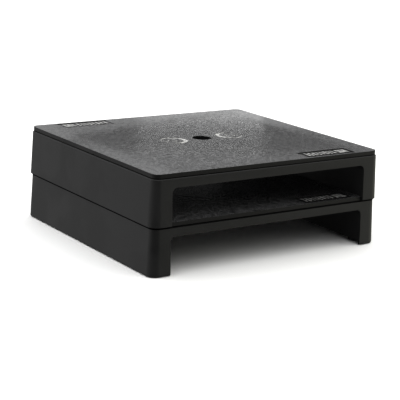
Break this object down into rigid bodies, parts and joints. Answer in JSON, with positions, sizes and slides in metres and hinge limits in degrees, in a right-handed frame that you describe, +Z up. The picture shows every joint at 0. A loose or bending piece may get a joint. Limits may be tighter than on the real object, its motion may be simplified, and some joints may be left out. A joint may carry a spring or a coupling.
{
  "type": "stackable monitor riser",
  "caption": "Stacked low monitor risers with flat textured decks on hollow side channels and wide through slots for letter paper; the upper one lifts off.",
  "frame": {"origin": "centre of the base, at the level where the rubber feet stand", "axes": "+Z up, +X along the wide side with the slot, the front slot opens towards -Y and the back slot towards +Y"},
  "size_m": [0.28, 0.257, 0.1],
  "materials": {
    "frame_plastic": "satin moulded black",
    "deck_plastic": "fine pebble grain, black",
    "screw_steel": "zinc plated",
    "foot_rubber": "matt black"
  },
  "bodies": {
    "lower_riser": {"lower_frame": "frame_plastic", "lower_deck": "deck_plastic", "lower_screws": "screw_steel", "foot_front_left": "foot_rubber", "foot_front_right": "foot_rubber", "foot_rear_left": "foot_rubber", "foot_rear_right": "foot_rubber"},
    "upper_riser": {"upper_frame": "frame_plastic", "upper_deck": "deck_plastic", "upper_screws": "screw_steel"}
  },
  "joints": [
    {"name": "upper_lift", "type": "slide", "parent": "lower_riser", "child": "upper_riser", "axis": [0, 0, 1], "range_m": [0, 0.08]}
  ]
}
